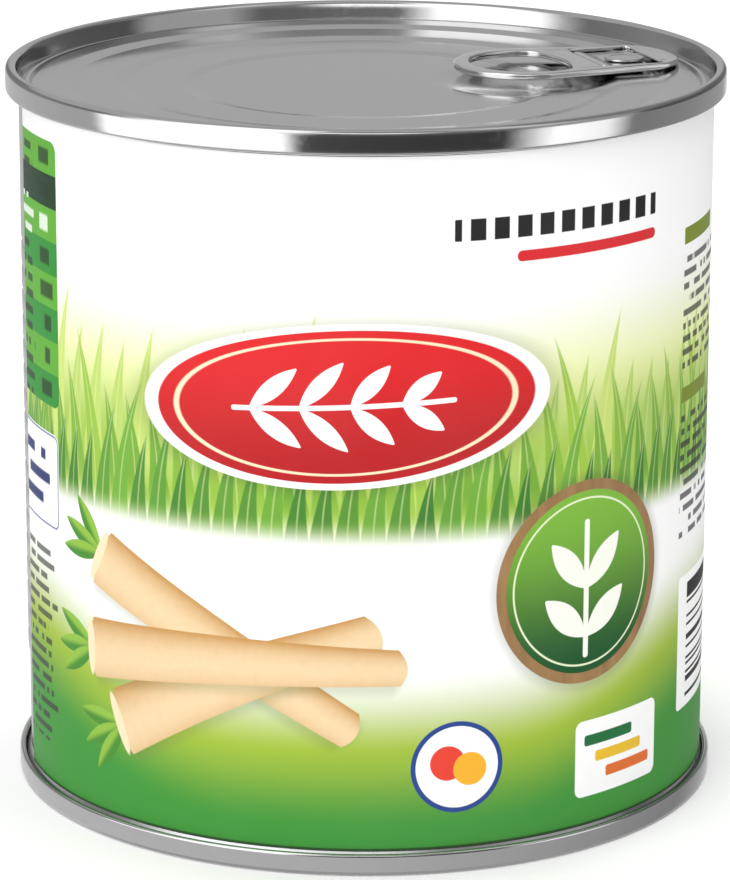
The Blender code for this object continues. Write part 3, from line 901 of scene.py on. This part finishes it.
# Facts at the left edge: a green table, a plain box and a block of small print
table = panel_shape(u, v, -60.0, 78.5, 8.5, 19.0, 1.6)
band = ((v - 59.5) / 4.75).math("FLOOR")
banding = band.math("MODULO", 2.0)
table_green = mixed(banding, ink(40, 142, 48), ink(92, 170, 48))
table_green = mixed(band.math("COMPARE", 6.0, 0.5), table_green, ink(18, 58, 36))
art = mixed(filled(table), art, table_green)
figures = lines_of_print(u, v, -57.5, -53.0, 97.5, 59.5, 4.75, 1.7)
names = lines_of_print(u, v, -66.0, -60.0, 96.6, 59.5, 2.375, 1.1)
in_dark_row = filled(v - 88.5) * filled(83.0 - v)
art = mixed(figures.most(names) * 0.85, art, mixed(in_dark_row, ink(20, 50, 24), ink(235, 245, 230)))
box = panel_shape(u, v, -60.0, 48.5, 8.0, 7.0, 1.4)
art = mixed(filled(box), art, ink(255, 255, 255))
art = mixed(filled(abs(box + 0.3) - 0.15), art, ink(120, 130, 170))
art = mixed(lines_of_print(u, v, -66.5, -54.5, 53.5, 43.5, 3.3, 1.5), art, ink(40, 50, 110))
art = mixed(lines_of_print(u, v, -66.0, -53.0, 38.5, 9.0, 1.9, 0.9) * 0.85, art, ink(50, 54, 50))

# Facts at the right edge: headings in olive, small print and a bar pattern
art = mixed(filled(panel_shape(u, v, 62.0, 84.0, 7.0, 1.2, 0.2)), art, ink(120, 140, 30))
art = mixed(lines_of_print(u, v, 55.0, 76.0, 81.5, 64.0, 1.9, 1.0) * 0.85, art, ink(40, 42, 40))
art = mixed(filled(panel_shape(u, v, 61.0, 61.0, 6.0, 1.1, 0.2)), art, ink(120, 140, 30))
art = mixed(lines_of_print(u, v, 55.0, 76.0, 58.5, 40.0, 1.9, 1.2) * 0.85, art, ink(40, 42, 40))
code = panel_shape(u, v, 65.0, 24.0, 9.5, 10.0, 0.8)
slot = (v / 0.42).math("FLOOR")
bars = slot.node("ShaderNodeTexWhiteNoise", {"noise_dimensions": "1D"}, {"W": slot}).ramp(0.49, 0.51)
art = mixed(filled(code), art, ink(255, 255, 255))
art = mixed(filled(panel_shape(u, v, 66.0, 24.0, 7.0, 8.6, 0.1)) * bars, art, ink(18, 18, 20))

# A darker green line along the foot, and the paper's own unevenness
art = mixed(filled(v - LABEL_LOW - 0.35), art, ink(44, 84, 40))
art = mixed(mottle * 0.05, art, ink(214, 212, 200))
fibre = grain(paper_place, 2600.0, 3.0)
feed(paper_shader, "Base Color", art)
feed(paper_shader, "Roughness", fibre * 0.08 + mottle * 0.05 + 0.36)
feed(paper_shader, "Coat Weight", mottle * 0.02 + 0.02)
feed(paper_shader, "Normal", bumped(fibre * 0.6 + mottle * 0.8, 0.000012))

turn = LABEL_START + LABEL_ANGLE * np.arange(LABEL_COLUMNS + 1) / LABEL_COLUMNS
heights = LABEL_LOW + (LABEL_HIGH - LABEL_LOW) * np.arange(LABEL_ROWS + 1) / LABEL_ROWS
label_points = []
for radius in (LABEL_RADIUS, LABEL_RADIUS - LABEL_SHEET):
    for angle in turn:
        label_points += [(radius * math.cos(angle), radius * math.sin(angle), z) for z in heights]
label_faces = []
wide = LABEL_ROWS + 1
side = (LABEL_COLUMNS + 1) * wide
for column in range(LABEL_COLUMNS):
    for row in range(LABEL_ROWS):
        a = column * wide + row
        label_faces.append((a, a + wide, a + wide + 1, a + 1))
        label_faces.append((a + side, a + side + 1, a + side + wide + 1, a + side + wide))
for column in range(LABEL_COLUMNS):
    for a in (column * wide, column * wide + LABEL_ROWS):
        label_faces.append((a, a + wide, a + wide + side, a + side))
for row in range(LABEL_ROWS):
    for a in (row, LABEL_COLUMNS * wide + row):
        label_faces.append((a, a + 1, a + 1 + side, a + side))
label = mesh_object("paper_label_wrap", np.array(label_points) * MM, label_faces, paper_finish, 40)
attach(label, "root")
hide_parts("paper_label")

# ---------------------------------------------------------------------------------------------------
# Packed root: peeled and cut lengths of a cream-coloured root, standing in two tiers inside the can.
# ---------------------------------------------------------------------------------------------------
root_finish, root_place, root_shader = finish_of("peeled root", {"Roughness": 0.38})
root_tone = grain(root_place, 120.0, 4.0, (1.0, 1.0, 0.25))
feed(root_shader, "Base Color", mixed(root_tone, (0.62, 0.44, 0.22, 1), (0.80, 0.66, 0.42, 1)))
feed(root_shader, "Normal", bumped(root_tone, 0.0003))

ROOT_COUNT = 28
ROOT_STEPS = 28
ROOT_RINGS = 26
draws = np.random.default_rng(7)
for number in range(1, ROOT_COUNT + 1):
    node = f"salsify_piece_{number:02d}"
    low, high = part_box(node)
    middle_x, middle_y = (low.x + high.x) / 2 / MM, (low.y + high.y) / 2 / MM
    radius = min(high.x - low.x, high.y - low.y) / 2 / MM
    length = (high.z - low.z) / MM
    section = [(0.0, 0.0)]
    for index in range(ROOT_RINGS + 1):
        share = index / ROOT_RINGS
        end = min(share, 1 - share) * length
        girth = radius * (0.965 - 0.03 * share) - worn_edge(np.array(end + 0.25), 1.3)
        section.append((girth, share * length))
    section.append((0.0, length))
    waves = draws.uniform(0, 2 * math.pi, 4)

    def grow(points, waves=waves, base=low.z / MM, x=middle_x, y=middle_y, length=length):
        angle = np.arctan2(points[:, 1], points[:, 0])
        share = points[:, 2] / length
        swell = 1 - 0.012 * (1 + np.sin(2 * angle + waves[0] + 3 * share))
        swell -= 0.008 * (1 + np.sin(3 * angle + waves[1]) * np.sin(9 * share + waves[2]))
        points[:, :2] *= swell[:, None]
        return points + (x, y, base)

    piece = turned(f"peeled_root_{number:02d}", section, ROOT_STEPS, root_finish, grow, 50)
    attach(piece, "root")
    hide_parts(node)

# ---------------------------------------------------------------------------------------------------
# Studio: a pale floor, soft lights, and a ring of reflector panels that the bright metal mirrors.
# ---------------------------------------------------------------------------------------------------
FLOOR_REACH = 4.0
floor_mesh = bpy.data.meshes.new("floor")
floor_corners = [(-1, -1, 0), (1, -1, 0), (1, 1, 0), (-1, 1, 0)]
floor_mesh.from_pydata([Vector(corner) * FLOOR_REACH for corner in floor_corners], [], [(0, 1, 2, 3)])
floor_finish, _, _ = finish_of("pale floor", {"Roughness": 0.8, "Base Color": (0.93, 0.93, 0.93, 1)})
floor_mesh.materials.append(floor_finish)
floor = bpy.data.objects.new("floor", floor_mesh)
bpy.context.scene.collection.objects.link(floor)
floor.visible_glossy = False

world = bpy.data.worlds.new("studio")
world.use_nodes = True
world.node_tree.nodes["Background"].inputs["Color"].default_value = (1, 1, 1, 1)
world.node_tree.nodes["Background"].inputs["Strength"].default_value = 0.43
bpy.context.scene.world = world


def softbox(name, place, aim, width, height, power):
    data = bpy.data.lights.new(name, "AREA")
    data.shape = "RECTANGLE"
    data.size = width
    data.size_y = height
    data.energy = power
    lamp = bpy.data.objects.new(name, data)
    bpy.context.scene.collection.objects.link(lamp)
    lamp.location = place
    lamp.rotation_mode = "QUATERNION"
    lamp.rotation_quaternion = (Vector(aim) - Vector(place)).to_track_quat("-Z", "Y")
    lamp.visible_glossy = False


softbox("front_softbox", (-0.9, -2.0, 1.0), (0, 0, 0.05), 1.6, 1.2, 22)
softbox("top_softbox", (0.0, 0.2, 2.2), (0, 0, 0), 2.5, 2.5, 60)

REFLECTOR_RADIUS = 0.36
REFLECTOR_LOW = -0.30
REFLECTOR_HIGH = 0.95
REFLECTOR_STEPS = 96
around = np.arange(REFLECTOR_STEPS) * 2 * math.pi / REFLECTOR_STEPS
rim = [(REFLECTOR_RADIUS * math.sin(a), -REFLECTOR_RADIUS * math.cos(a)) for a in around]
wall_points = [(x, y, z) for z in (REFLECTOR_LOW, REFLECTOR_HIGH) for x, y in rim]
wall_faces = [
    (k, (k + 1) % REFLECTOR_STEPS, (k + 1) % REFLECTOR_STEPS + REFLECTOR_STEPS, k + REFLECTOR_STEPS)
    for k in range(REFLECTOR_STEPS)
]
wall_mesh = bpy.data.meshes.new("reflector_ring")
wall_mesh.from_pydata(wall_points, [], wall_faces)
reflector_finish, ring_place, ring_shader = finish_of(
    "reflector ring", {"Base Color": (0, 0, 0, 1), "Emission Strength": 1.7, "Specular IOR Level": 0.0}
)
ring_x, ring_y, ring_z = parts_of(ring_place)
ring_turn = ring_x.math("ARCTAN2", -ring_y) / (2 * math.pi) + 0.5


def reflectors_at(run):
    """Brightness round the ring, from azimuths in degrees and levels."""
    stops = [((azimuth + 180) / 360, (level, level, level)) for azimuth, level in run]
    return ring_turn.node("ShaderNodeValToRGB", {"stops": stops}, {"Fac": ring_turn})


floor_level = reflectors_at([(-180, 0.42), (-60, 0.38), (0, 0.35), (60, 0.26), (120, 0.17), (180, 0.42)])
low_level = reflectors_at(
    [
        (-180, 0.38),
        (-88, 0.29),
        (-83, 1.0),
        (-24, 1.0),
        (-19, 0.05),
        (10, 0.035),
        (41, 0.03),
        (49, 0.50),
        (57, 0.95),
        (76, 0.80),
        (86, 0.15),
        (150, 0.24),
        (168, 0.60),
        (180, 0.38),
    ]
)
wall_level = reflectors_at(
    [
        (-180, 0.28),
        (-164, 0.28),
        (-158, 0.12),
        (-120, 0.17),
        (-86, 0.12),
        (-76, 0.35),
        (-66, 1.0),
        (-28, 1.0),
        (-13, 0.10),
        (40, 0.09),
        (52, 0.27),
        (84, 0.26),
        (94, 0.06),
        (124, 0.07),
        (158, 0.11),
        (164, 0.28),
        (180, 0.28),
    ]
)
strip_level = reflectors_at(
    [
        (-180, 0.28),
        (-80, 0.30),
        (-66, 0.95),
        (-28, 1.0),
        (10, 1.0),
        (26, 0.15),
        (62, 0.30),
        (120, 0.10),
        (180, 0.28),
    ]
)
high_level = reflectors_at(
    [
        (-180, 0.28),
        (-80, 0.30),
        (-66, 1.0),
        (-26, 1.0),
        (-15, 0.26),
        (-3, 0.20),
        (28, 0.20),
        (43, 0.30),
        (56, 0.50),
        (70, 0.46),
        (84, 0.20),
        (118, 0.12),
        (180, 0.28),
    ]
)
levels = mixed(ring_z.ramp(-30.0, 5.0), floor_level, low_level)
levels = mixed(ring_z.ramp(70.0, 110.0), levels, wall_level)
levels = mixed(ring_z.ramp(240.0, 258.0), levels, strip_level)
levels = mixed(ring_z.ramp(328.0, 352.0), levels, high_level)
feed(ring_shader, "Emission Color", levels)
wall_mesh.materials.append(reflector_finish)

overhead_mesh = bpy.data.meshes.new("overhead_panel")
overhead_corners = [(-0.3, -0.35), (0.3, -0.35), (0.3, 0.2), (-0.3, 0.2)]
overhead_points = [(x, y, REFLECTOR_HIGH) for x, y in overhead_corners]
overhead_mesh.from_pydata(overhead_points, [], [(0, 1, 2, 3)])
overhead_finish, _, _ = finish_of(
    "overhead panel", {"Base Color": (0, 0, 0, 1), "Emission Strength": 0.5, "Emission Color": (1, 1, 1, 1)}
)
overhead_mesh.materials.append(overhead_finish)
for name, mesh in (("reflector_ring", wall_mesh), ("overhead_panel", overhead_mesh)):
    reflector = bpy.data.objects.new(name, mesh)
    bpy.context.scene.collection.objects.link(reflector)
    reflector.visible_camera = False
    reflector.visible_diffuse = False
    reflector.visible_shadow = False
    reflector.visible_transmission = False
